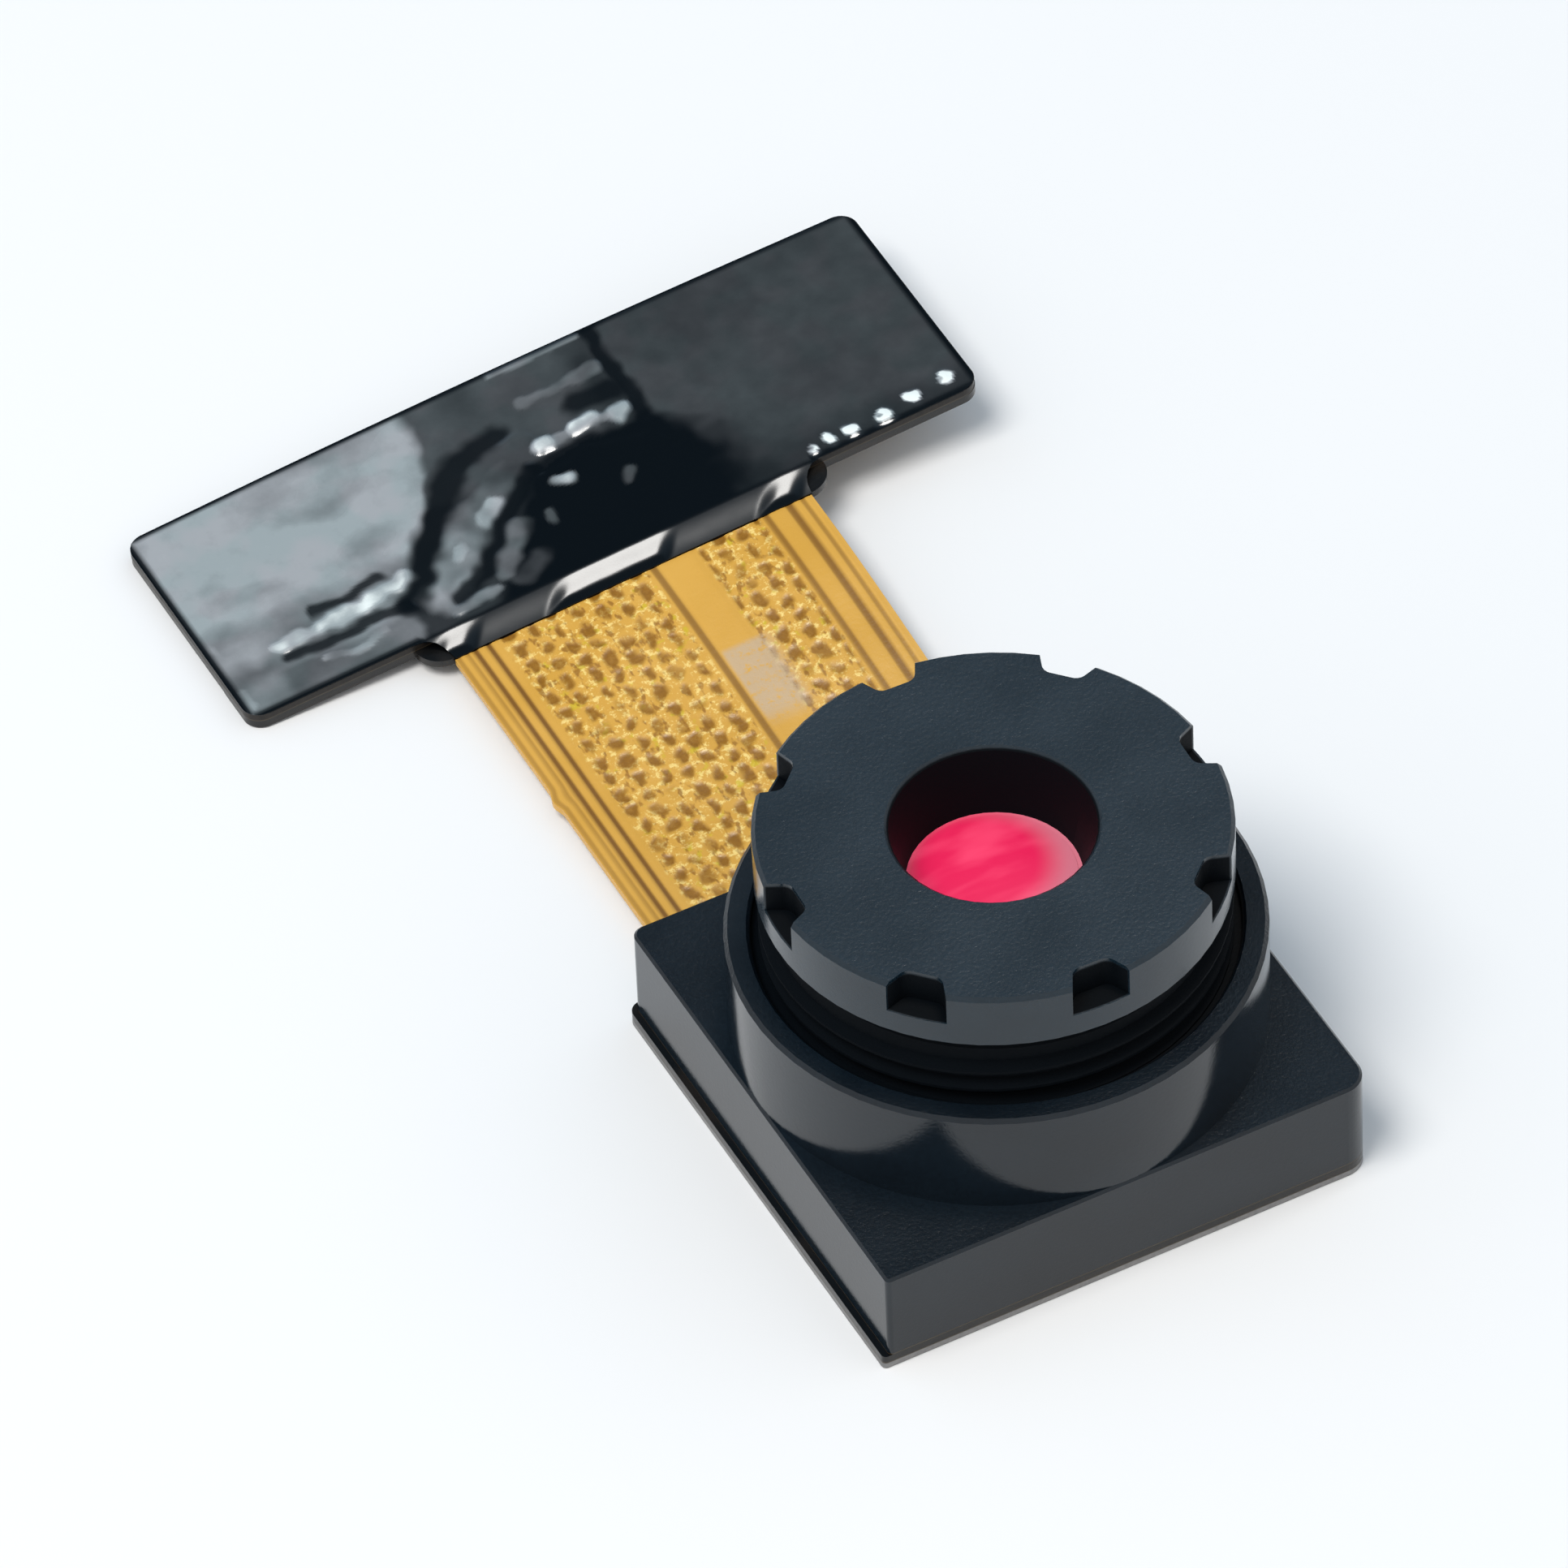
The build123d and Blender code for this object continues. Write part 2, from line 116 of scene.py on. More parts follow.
def noise(tree, vector, per_mm, detail=2.0, roughness=0.5):
    """Noise with about per_mm cells to the millimetre, as a value from 0 to 1."""
    node = tree.nodes.new("ShaderNodeTexNoise")
    feed(tree, node.inputs["Vector"], vector)
    feed(tree, node.inputs["Scale"], per_mm)
    node.inputs["Detail"].default_value = detail
    node.inputs["Roughness"].default_value = roughness
    return node.outputs["Fac"]


def stretch(tree, vector, scale, turn=(0, 0, 0)):
    """Scale and turn the coordinates of a pattern."""
    node = tree.nodes.new("ShaderNodeMapping")
    feed(tree, node.inputs["Vector"], vector)
    node.inputs["Scale"].default_value = scale
    node.inputs["Rotation"].default_value = turn
    return node.outputs["Vector"]


def millimetres(tree):
    """Object coordinates in millimetres."""
    coordinates = tree.nodes.new("ShaderNodeTexCoord")
    return stretch(tree, coordinates.outputs["Object"], (1 / MM, 1 / MM, 1 / MM))


def raise_grain(tree, height, depth_mm, strength=1.0):
    """A Bump node whose height of 1 is depth_mm tall."""
    node = tree.nodes.new("ShaderNodeBump")
    node.inputs["Distance"].default_value = depth_mm * MM
    node.inputs["Strength"].default_value = strength
    feed(tree, node.inputs["Height"], height)
    return node.outputs["Normal"]


def new_finish(name, **settings):
    """A material and its Principled BSDF, with the constants set on the shader's own sockets."""
    material = bpy.data.materials.new(name)
    material.use_nodes = True
    shader = material.node_tree.nodes["Principled BSDF"]
    for title, value in settings.items():
        shader.inputs[title.replace("_", " ")].default_value = value
    return material, material.node_tree, shader


def new_group(name, inputs, outputs):
    """An empty shader node group with named sockets."""
    group = bpy.data.node_groups.new(name, "ShaderNodeTree")
    for title, kind, value in inputs:
        socket = group.interface.new_socket(title, in_out="INPUT", socket_type=kind)
        if kind == "NodeSocketFloat":
            socket.default_value = value
    for title, kind in outputs:
        group.interface.new_socket(title, in_out="OUTPUT", socket_type=kind)
    return group, group.nodes.new("NodeGroupInput").outputs, group.nodes.new("NodeGroupOutput").inputs


def place_group(tree, group, **values):
    """The outputs of a node group placed in a material with its own values."""
    node = tree.nodes.new("ShaderNodeGroup")
    node.node_tree = group
    for title, value in values.items():
        feed(tree, node.inputs[title], value)
    return node.outputs


def give(finish, *nodes):
    """Give CAD nodes a finish in place of their plain one."""
    for name in nodes:
        for material_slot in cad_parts[name].material_slots:
            material_slot.material = finish


def soft_grain_group():
    """Fine grain over slow patches: the shared unevenness of rolled, cast and cured surfaces."""
    group, given, wanted = new_group(
        "soft grain",
        [
            ("Vector", "NodeSocketVector", None),
            ("Fine", "NodeSocketFloat", 12.0),
            ("Slow", "NodeSocketFloat", 1.0),
        ],
        [("Grain", "NodeSocketFloat"), ("Patches", "NodeSocketFloat")],
    )
    fine = noise(group, given["Vector"], given["Fine"], detail=3.0, roughness=0.6)
    slow = noise(group, given["Vector"], given["Slow"], detail=2.0)
    feed(group, wanted["Grain"], fine)
    feed(group, wanted["Patches"], ramp(group, slow, 0.3, 0.7))
    return group


soft_grain = soft_grain_group()


def rolled_steel():
    """Matt rolled sheet with faint lines along the rolling direction."""
    finish, tree, shader = new_finish("rolled_steel", Metallic=1.0)
    place = millimetres(tree)
    lines = noise(tree, stretch(tree, place, (14, 0.8, 14)), 1.0, detail=3.0)
    marks = place_group(tree, soft_grain, Vector=place, Fine=9.0, Slow=0.7)
    feed(tree, shader.inputs["Base Color"], tint(tree, lines, display(120, 120, 122), display(158, 157, 155)))
    feed(tree, shader.inputs["Roughness"], between(tree, marks["Patches"], 0.34, 0.48))
    feed(tree, shader.inputs["Normal"], raise_grain(tree, lines, 0.004))
    return finish


def cured_adhesive():
    """Dark film adhesive, slightly uneven where it squeezed out."""
    finish, tree, shader = new_finish("cured_adhesive", IOR=1.5)
    marks = place_group(tree, soft_grain, Vector=millimetres(tree), Fine=6.0, Slow=1.5)
    colour = tint(tree, marks["Grain"], display(38, 32, 24), display(74, 62, 44))
    feed(tree, shader.inputs["Base Color"], colour)
    feed(tree, shader.inputs["Roughness"], between(tree, marks["Patches"], 0.3, 0.5))
    feed(tree, shader.inputs["Normal"], raise_grain(tree, marks["Grain"], 0.006))
    return finish


adhesive_finish = cured_adhesive()
give(rolled_steel(), "rear_stiffener")
give(adhesive_finish, "rear_adhesive")

# ---------------------------------------------------------------------------
# Flex circuit, head end
# The square end of the flex circuit lies flat between the stiffener and the lens
# holder. It is covered with black film, and its cut edge is nearly black too.
# ---------------------------------------------------------------------------


def black_cover_film():
    """Black cover film, and a cut edge with faint brown layers."""
    finish, tree, shader = new_finish("black_cover_film", IOR=1.5)
    place = millimetres(tree)
    marks = place_group(tree, soft_grain, Vector=place, Fine=7.0, Slow=1.1)
    layers = noise(tree, stretch(tree, place, (0.6, 0.6, 26)), 1.0)
    colour = tint(tree, ramp(tree, layers, 0.45, 0.7), display(7, 8, 9), display(34, 28, 22))
    feed(tree, shader.inputs["Base Color"], colour)
    feed(tree, shader.inputs["Roughness"], between(tree, marks["Patches"], 0.16, 0.28))
    feed(tree, shader.inputs["Normal"], raise_grain(tree, marks["Grain"], 0.004))
    return finish


cover_finish = black_cover_film()
give(cover_finish, "flex_head")

# ---------------------------------------------------------------------------
# Image sensor package
# A chip-scale package: a silicon die on solder balls, with a thin dam that holds a
# cover glass off the light-sensitive area. It is reflowed onto the flex before the holder goes on.
# ---------------------------------------------------------------------------


def reflowed_solder():
    """Bright solder with a soft skin."""
    finish, tree, shader = new_finish("reflowed_solder", Metallic=1.0)
    marks = place_group(tree, soft_grain, Vector=millimetres(tree), Fine=14.0, Slow=3.0)
    colour = tint(tree, marks["Grain"], display(170, 170, 168), display(214, 213, 208))
    feed(tree, shader.inputs["Base Color"], colour)
    feed(tree, shader.inputs["Roughness"], between(tree, marks["Patches"], 0.18, 0.38))
    feed(tree, shader.inputs["Normal"], raise_grain(tree, marks["Grain"], 0.01))
    return finish


def sensor_silicon():
    """Polished silicon: a sensing area with a faint green sheen, inside a plain border."""
    finish, tree, shader = new_finish("sensor_silicon", Metallic=0.6)
    place = millimetres(tree)
    axes = tree.nodes.new("ShaderNodeSeparateXYZ")
    feed(tree, axes.inputs[0], place)
    inside_x = ramp(tree, calc(tree, "ABSOLUTE", axes.outputs["X"]), 1.84, 1.80)
    inside_y = ramp(tree, calc(tree, "ABSOLUTE", axes.outputs["Y"]), 1.39, 1.35)
    sensing = calc(tree, "MULTIPLY", inside_x, inside_y)
    marks = place_group(tree, soft_grain, Vector=place, Fine=10.0, Slow=0.5)
    array = tint(tree, marks["Patches"], display(40, 66, 58), display(58, 48, 74))
    feed(tree, shader.inputs["Base Color"], tint(tree, sensing, display(96, 92, 98), array))
    feed(tree, shader.inputs["Roughness"], between(tree, marks["Grain"], 0.12, 0.26))
    return finish


def black_foil():
    """Matt black foil for the dam, the stop and the light shield."""
    finish, tree, shader = new_finish("black_foil", IOR=1.45)
    marks = place_group(tree, soft_grain, Vector=millimetres(tree), Fine=16.0, Slow=1.2)
    colour = tint(tree, marks["Grain"], display(10, 10, 11), display(26, 26, 27))
    feed(tree, shader.inputs["Base Color"], colour)
    feed(tree, shader.inputs["Roughness"], between(tree, marks["Patches"], 0.6, 0.75))
    feed(tree, shader.inputs["Normal"], raise_grain(tree, marks["Grain"], 0.004))
    return finish


def optical_glass(name, shade, shade_edge):
    """Clear glass or optical plastic, with a faint coating colour and a few marks."""
    finish, tree, shader = new_finish(name, IOR=1.52, Transmission_Weight=1.0, Coat_Weight=0.5)
    marks = place_group(tree, soft_grain, Vector=millimetres(tree), Fine=5.0, Slow=0.6)
    feed(tree, shader.inputs["Base Color"], tint(tree, marks["Patches"], shade, shade_edge))
    feed(tree, shader.inputs["Roughness"], between(tree, marks["Grain"], 0.02, 0.06))
    return finish


foil_finish = black_foil()
solder_finish = reflowed_solder()
give(solder_finish, "solder_balls", "chip_terminals")
give(sensor_silicon(), "sensor_die")
give(foil_finish, "sensor_dam")
give(optical_glass("cover_glass", display(236, 244, 242), display(224, 238, 236)), "sensor_cover_glass")

# ---------------------------------------------------------------------------
# Chip parts
# Ceramic capacitors and resistors in a row on each side of the sensor, soldered to
# the flex inside the holder's cavity.
# ---------------------------------------------------------------------------


def fired_ceramic(name, dark, light, gloss_low, gloss_high):
    """Sintered ceramic with fine grain."""
    finish, tree, shader = new_finish(name)
    marks = place_group(tree, soft_grain, Vector=millimetres(tree), Fine=18.0, Slow=3.0)
    feed(tree, shader.inputs["Base Color"], tint(tree, marks["Grain"], dark, light))
    feed(tree, shader.inputs["Roughness"], between(tree, marks["Patches"], gloss_low, gloss_high))
    feed(tree, shader.inputs["Normal"], raise_grain(tree, marks["Grain"], 0.003))
    return finish


capacitor_finish = fired_ceramic("capacitor_ceramic", display(140, 112, 82), display(176, 146, 110), 0.4, 0.55)
give(capacitor_finish, "chip_capacitors")
give(fired_ceramic("resistor_glaze", display(18, 18, 20), display(34, 34, 36), 0.25, 0.4), "chip_resistors")

# ---------------------------------------------------------------------------
# Lens holder
# One black moulding: a square base glued over the sensor and a round collar with
# the focus thread inside. The tool leaves a fine satin texture on every face.
# ---------------------------------------------------------------------------


def moulded_skin_group():
    """Tool texture of a moulding: colour mask, roughness and height."""
    group, given, wanted = new_group(
        "moulded skin",
        [
            ("Vector", "NodeSocketVector", None),
            ("Fine", "NodeSocketFloat", 14.0),
            ("Gloss", "NodeSocketFloat", 0.35),
        ],
        [("Mask", "NodeSocketFloat"), ("Roughness", "NodeSocketFloat"), ("Height", "NodeSocketFloat")],
    )
    fine = noise(group, given["Vector"], given["Fine"], detail=4.0, roughness=0.65)
    flow = noise(group, stretch(group, given["Vector"], (0.5, 0.5, 0.9)), 1.0, detail=3.0)
    feed(group, wanted["Mask"], calc(group, "MULTIPLY", fine, flow))
    feed(group, wanted["Roughness"], calc(group, "MULTIPLY_ADD", flow, 0.12, given["Gloss"]))
    feed(group, wanted["Height"], fine)
    return group


moulded_skin = moulded_skin_group()


def radius_about_axis(tree, place):
    """The distance from the optical axis."""
    axes = tree.nodes.new("ShaderNodeSeparateXYZ")
    feed(tree, axes.inputs[0], place)
    square_x = calc(tree, "MULTIPLY", axes.outputs["X"], axes.outputs["X"])
    square_y = calc(tree, "MULTIPLY", axes.outputs["Y"], axes.outputs["Y"])
    return calc(tree, "SQRT", calc(tree, "ADD", square_x, square_y)), axes.outputs["Z"]


HOLDER_COLOURS = (display(10, 18, 25), display(16, 26, 34))


def black_moulding(name, colours, gloss, texture, painted_shade_places):
    """Black plastic, slightly blue: side walls have the gloss, faces across the axis the texture.

    The last argument gives the recesses as a mask of radius and height: they get painted shade, a darker
    colour and a weaker reflection, and are rougher.
    """
    finish, tree, shader = new_finish(name, IOR=1.5)
    place = millimetres(tree)
    facing = tree.nodes.new("ShaderNodeSeparateXYZ")
    feed(tree, facing.inputs[0], tree.nodes.new("ShaderNodeTexCoord").outputs["Normal"])
    textured = ramp(tree, calc(tree, "ABSOLUTE", facing.outputs["Z"]), 0.4, 0.8)
    roughness = between(tree, textured, gloss, texture)
    skin = place_group(tree, moulded_skin, Vector=place, Fine=16.0, Gloss=roughness)
    painted_shade = painted_shade_places(tree, *radius_about_axis(tree, place))
    colour = tint(tree, ramp(tree, skin["Mask"], 0.1, 0.4), *colours)
    # Painted shade in the recesses: a darker colour here and a weaker reflection two lines below.
    feed(tree, shader.inputs["Base Color"], tint(tree, painted_shade, colour, display(8, 12, 16)))
    feed(tree, shader.inputs["Roughness"], calc(tree, "MULTIPLY_ADD", painted_shade, 0.45, skin["Roughness"]))
    feed(tree, shader.inputs["Specular IOR Level"], between(tree, painted_shade, 0.5, 0.06))
    height = calc(tree, "MULTIPLY", skin["Height"], between(tree, textured, 0.25, 1.0))
    feed(tree, shader.inputs["Normal"], raise_grain(tree, height, 0.008))
    return finish


def inside_collar(tree, radius, height):
    """The thread and bore inside the holder's collar, which get painted shade."""
    return calc(tree, "MULTIPLY", ramp(tree, radius, 3.62, 3.58), ramp(tree, height, 1.3, 1.5))


holder_finish = black_moulding("holder_moulding", HOLDER_COLOURS, 0.06, 0.17, inside_collar)
give(holder_finish, "lens_holder")
give(adhesive_finish, "holder_adhesive", "filter_adhesive")

# ---------------------------------------------------------------------------
# Infrared filter
# A square of coated glass on the holder's shelf. It passes what the eye sees and
# throws red light back, which gives the lens its pink glow from outside; on the front lens that glow is
# painted.
# ---------------------------------------------------------------------------

give(optical_glass("filter_glass", display(246, 150, 172), display(240, 120, 150)), "infrared_filter")

# ---------------------------------------------------------------------------
# Lens stack
# Three moulded elements with a foil stop and a light shield between them, held by a
# ring pressed into the rear of the barrel. The front element carries the coating, and the filter's red light
# is painted on it as a painted reflection with a painted glow.
# ---------------------------------------------------------------------------


def coated_lens():
    """The front element, painted with the filter's red light as a painted reflection and a painted glow: deep
    in the middle, paler at its rim.
    """
    coat = {"Coat_Weight": 0.3, "Coat_Roughness": 0.03}
    finish, tree, shader = new_finish("coated_lens", IOR=1.55, Roughness=0.3, **coat)
    place = millimetres(tree)
    off_axis = tree.nodes.new("ShaderNodeVectorMath")
    feed(tree, off_axis.inputs[0], place)
    off_axis.inputs[1].default_value = (0.12, -0.28, 0)
    rim = ramp(tree, radius_about_axis(tree, off_axis.outputs["Vector"])[0], 0.80, 1.40)
    cloud = noise(tree, stretch(tree, place, (0.9, 2.6, 1), (0, 0, 0.5)), 0.9, detail=2.0)
    middle = tint(tree, ramp(tree, cloud, 0.4, 0.75), display(224, 22, 80), display(240, 62, 104))
    glow = tint(tree, rim, middle, display(206, 112, 130))
    feed(tree, shader.inputs["Base Color"], glow)
    # Painted glow: the lens emits its painted red reflection, though it is no lamp.
    feed(tree, shader.inputs["Emission Color"], glow)
    shader.inputs["Emission Strength"].default_value = 0.28
    return finish


lens_finish = optical_glass("clear_lens", display(246, 248, 250), display(236, 242, 248))
give(coated_lens(), "front_lens")
give(foil_finish, "aperture_stop", "light_shield")
give(lens_finish, "second_lens", "third_lens")

# ---------------------------------------------------------------------------
# Lens barrel
# A black moulding with eight notches round its head for the focus key, and a fine
# thread below. It screws into the holder until the picture is sharp.
# ---------------------------------------------------------------------------


BARREL_COLOURS = (display(16, 30, 39), display(23, 38, 48))


def bore_and_notches(tree, radius, height):
    """The flared aperture, the thread and the insides of the notches, which get painted shade."""
    bore = calc(tree, "MULTIPLY", ramp(tree, radius, 1.56, 1.53), ramp(tree, height, 4.0, 4.2))
    thread = ramp(tree, height, 4.66, 4.60)
    below_top = ramp(tree, height, 5.64, 5.58)
    notch = calc(tree, "MULTIPLY", ramp(tree, radius, 3.49, 3.46), below_top)
    return calc(tree, "MAXIMUM", calc(tree, "MAXIMUM", bore, thread), notch)


barrel_finish = black_moulding("barrel_moulding", BARREL_COLOURS, 0.08, 0.27, bore_and_notches)
give(barrel_finish, "lens_barrel", "retaining_ring")

# ---------------------------------------------------------------------------
# Neck of the flex circuit
# Amber cover film over a hatched copper plane, with long traces along both edges and
# one beside the middle. It leaves the head flat, rises, and twists to the bar's lean.
# ---------------------------------------------------------------------------

head_low, head_high = (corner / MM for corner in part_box("flex_head"))
tail_low, tail_high = (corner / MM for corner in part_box("flex_tail"))
bar_low, bar_high = (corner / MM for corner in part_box("connector_stiffener"))

FLEX_THICKNESS = head_high.z - head_low.z
NECK_HALF = 3.05
NECK_CENTRE = -0.05
BAR_HALF = 6.25
BAR_THICKNESS = 0.30
neck_start = head_high.y
tab_front = tail_low.y
bar_front = bar_low.y
bar_back = bar_high.y
bar_centre = (tail_low.x + tail_high.x) / 2
bar_lean = math.asin((tail_high.z - tail_low.z - FLEX_THICKNESS) / (2 * BAR_HALF))
flex_middle_in_bar = 0.02 + FLEX_THICKNESS / 2


def smooth(share):
    """An eased share from 0 to 1."""
    share = min(max(share, 0.0), 1.0)
    return share * share * (3 - 2 * share)


def on_flex(across, along, height):
    """A point of the flex circuit, given across it, along it and above its middle, all in millimetres."""
    ease = smooth((along - neck_start) / (tab_front - neck_start))
    lean = bar_lean * ease
    end_x = bar_centre - flex_middle_in_bar * math.sin(bar_lean)
    end_z = BAR_HALF * math.sin(bar_lean) + flex_middle_in_bar * math.cos(bar_lean)
    start_z = (head_low.z + head_high.z) / 2
    x = NECK_CENTRE + (end_x - NECK_CENTRE) * ease
    z = start_z + (end_z - start_z) * ease
    x += across * math.cos(lean) - height * math.sin(lean)
    z += across * math.sin(lean) + height * math.cos(lean)
    return Vector((x, along, z)) * MM


def lay_on_flex(bm, name, finish):
    """Finish a sheet modelled flat, in millimetres: keep its flat place as a UV map, and lay it down."""
    flat = bm.loops.layers.uv.new("flat_mm")
    for face in bm.faces:
        face.smooth = True
        for loop in face.loops:
            loop[flat].uv = loop.vert.co.xy
    for vert in bm.verts:
        vert.co = on_flex(*vert.co)
    bmesh.ops.recalc_face_normals(bm, faces=bm.faces[:])
    mesh = bpy.data.meshes.new(name)
    bm.to_mesh(mesh)
    bm.free()
    mesh.set_sharp_from_angle(angle=math.radians(50))
    piece = bpy.data.objects.new(name, mesh)
    bpy.context.scene.collection.objects.link(piece)
    mesh.materials.append(finish)
    return piece


def thicken(bm, floor_height):
    """Give a flat-modelled sheet a flat underside at a height, and side walls."""
    upper = set(bm.verts)
    bmesh.ops.extrude_face_region(bm, geom=bm.faces[:], use_keep_orig=True)
    for vert in bm.verts:
        if vert not in upper:
            vert.co.z = floor_height


# Long traces: place across the neck, half width and rise, in millimetres
EDGE_TRACES = [
    (-2.92, 0.050, 0.007),
    (-2.80, 0.030, 0.006),
    (-2.60, 0.060, 0.008),
    (-2.38, 0.060, 0.006),
    (2.43, 0.110, 0.007),
    (2.78, 0.060, 0.007),
    (2.95, 0.030, 0.006),
]
# Gaps beside the traces: place across the neck, half width and darkness
GAPS = [
    (-2.99, 0.035, 0.5),
    (-2.84, 0.030, 0.5),
    (-2.71, 0.045, 1.0),
    (-2.49, 0.045, 1.0),
    (0.33, 0.055, 0.8),
    (2.26, 0.050, 0.8),
    (2.66, 0.060, 0.9),
    (2.89, 0.035, 0.6),
]
MIDDLE_STRIP = (0.41, 0.99)
HOLE_FIELDS = [(-2.30, 0.22), (1.04, 2.16)]
HOLE_ACROSS = 0.71
HOLE_ALONG = 0.37
HOLE_HALF_WIDTH = 0.095
HOLE_HALF_LENGTH = 0.135
HOLE_DEPTH = 0.016


def wander(across, along, cells_per_mm, seed):
    """A slow random field from about -1 to 1 over the flex."""
    return field_noise.noise(Vector((across * cells_per_mm, along * cells_per_mm, seed)))


def hole_share(across, along):
    """How deep a point is in a hole of the copper plane, from 0 to 1; the rows of holes are staggered."""
    across += 0.08 * wander(across, along, 3.1, 4.5) + 0.05 * wander(across, along, 7.3, 5.5)
    along += 0.10 * wander(across, along, 2.6, 11.5) + 0.06 * wander(across, along, 6.7, 12.5)
    best = 0.0
    for shift in (0.0, 0.5):
        x = ((across / HOLE_ACROSS + shift) % 1 - 0.5) * HOLE_ACROSS
        y = ((along / HOLE_ALONG + shift) % 1 - 0.5) * HOLE_ALONG
        reach = math.hypot(x / HOLE_HALF_WIDTH, y / HOLE_HALF_LENGTH)
        best = max(best, smooth((1.35 - reach) / 0.7))
    return best * smooth(1.2 + 1.4 * wander(across, along, 1.9, 21.5))


def neck_point(across, along):
    """The height of the cover film over the copper, with how far the point is in a hole and in a gap."""
    rise = 0.0
    hole = 0.0
    gap = 0.0
    for place, half_width, height in EDGE_TRACES:
        rise += height * smooth(1.6 - abs(across - place) / half_width)
    for low, high in HOLE_FIELDS:
        if low < across < high:
            edge = smooth((across - low) / 0.06) * smooth((high - across) / 0.06)
            hole = edge * hole_share(across, along)
    for place, half_width, depth in GAPS:
        gap = max(gap, depth * smooth(1.5 - abs(across - place) / half_width))
    low, high = MIDDLE_STRIP
    rise += 0.006 * smooth((across - low) / 0.05) * smooth((high - across) / 0.05)
    rise += 0.004 * wander(across, along, 1.3, 7.5)
    return rise - HOLE_DEPTH * hole - 0.006 * gap, hole, gap


def own_value(tree, name):
    """A value kept on the piece's own points."""
    node = tree.nodes.new("ShaderNodeAttribute")
    node.attribute_name = name
    return node.outputs["Fac"]


def flat_axes(tree):
    """The flat place on the flex, across and along it, in millimetres."""
    flat = tree.nodes.new("ShaderNodeUVMap")
    flat.uv_map = "flat_mm"
    axes = tree.nodes.new("ShaderNodeSeparateXYZ")
    feed(tree, axes.inputs[0], flat.outputs[0])
    return flat.outputs[0], axes.outputs["X"], axes.outputs["Y"]


def neck_finish():
    """Amber film: brown in the gaps and holes of the copper, with painted highlights as pale and greenish
    specks over the hole fields, and a pale greyish patch beside the middle strip.
    """
    finish, tree, shader = new_finish("neck_cover_film", IOR=1.45)
    flat, across, along = flat_axes(tree)
    hole = own_value(tree, "hole")
    gap = own_value(tree, "gap")
    slow = noise(tree, flat, 0.7)
    speckle = noise(tree, flat, 7.0, detail=3.0, roughness=0.75)
    amber = tint(tree, slow, display(206, 154, 58), display(224, 172, 76))
    left_field = calc(tree, "MULTIPLY", ramp(tree, across, -2.34, -2.26), ramp(tree, across, 0.26, 0.18))
    right_field = calc(tree, "MULTIPLY", ramp(tree, across, 1.0, 1.08), ramp(tree, across, 2.2, 2.12))
    field = calc(tree, "ADD", left_field, right_field)
    # Painted highlights: pale specks over the hole fields, then greenish glints.
    pale = calc(tree, "MULTIPLY", field, ramp(tree, speckle, 0.50, 0.64))
    colour = tint(tree, pale, amber, display(246, 214, 128))
    green = calc(tree, "MULTIPLY", field, ramp(tree, noise(tree, flat, 4.3), 0.60, 0.72))
    colour = tint(tree, calc(tree, "MULTIPLY", green, 0.7), colour, display(206, 182, 30))
    dashes = noise(tree, stretch(tree, flat, (1.5, 0.8, 1)), 5.2, detail=2.0)
    brown = calc(tree, "MULTIPLY", field, ramp(tree, dashes, 0.55, 0.68))
    colour = tint(tree, calc(tree, "MULTIPLY", brown, 0.75), colour, display(142, 92, 22))
    dark = tint(tree, speckle, display(104, 64, 6), display(170, 116, 22))
    colour = tint(tree, calc(tree, "MULTIPLY", hole, 0.95), colour, dark)
    colour = tint(tree, calc(tree, "MULTIPLY", gap, 0.85), colour, display(100, 58, 8))
    # A pale greyish patch beside the middle strip, lighter in speckles.
    pale_patch_across = calc(tree, "MULTIPLY", ramp(tree, across, 0.38, 0.46), ramp(tree, across, 1.35, 1.0))
    pale_patch_along = calc(tree, "MULTIPLY", ramp(tree, along, 7.7, 8.2), ramp(tree, along, 9.5, 9.35))
    pale_patch = calc(tree, "MULTIPLY", calc(tree, "MULTIPLY", pale_patch_across, pale_patch_along), ramp(tree, speckle, 0.3, 0.5))
    colour = tint(tree, calc(tree, "MULTIPLY", pale_patch, 0.8), colour, display(196, 172, 142))
    feed(tree, shader.inputs["Base Color"], colour)
    feed(tree, shader.inputs["Roughness"], between(tree, slow, 0.25, 0.45))
    feed(tree, shader.inputs["Normal"], raise_grain(tree, speckle, 0.006))
    return finish


NECK_CELLS_ACROSS = 168
NECK_CELLS_ALONG = 206


def make_neck():
    """One sheet from the holder's rear wall to the tab, with a small nick along its left edge."""
    bm = bmesh.new()
    bmesh.ops.create_grid(bm, x_segments=NECK_CELLS_ACROSS, y_segments=NECK_CELLS_ALONG, size=1)
    hole_layer = bm.verts.layers.float.new("hole")
    gap_layer = bm.verts.layers.float.new("gap")
    middle = (neck_start + tab_front) / 2
    half_length = (tab_front - neck_start) / 2
    for vert in bm.verts:
        across, along = vert.co.x * NECK_HALF, middle + vert.co.y * half_length
        height, vert[hole_layer], vert[gap_layer] = neck_point(across, along)
        nick = 0.06 * smooth(1 - abs(along - 8.15) / 0.25) * smooth((-across - 2.7) / 0.35)
        vert.co = (across - nick, along, FLEX_THICKNESS / 2 + height)
    thicken(bm, -FLEX_THICKNESS / 2)
    return lay_on_flex(bm, "flex_neck", neck_finish())


neck = make_neck()
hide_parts("neck_head_end", "neck_bend", "neck_connector_end")
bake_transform(neck)

# ---------------------------------------------------------------------------
# Connector end
# The T-shaped end of the flex, with 24 gold-plated contacts underneath and a brown
# polyimide stiffener on top that brings it up to the socket's thickness.
# ---------------------------------------------------------------------------


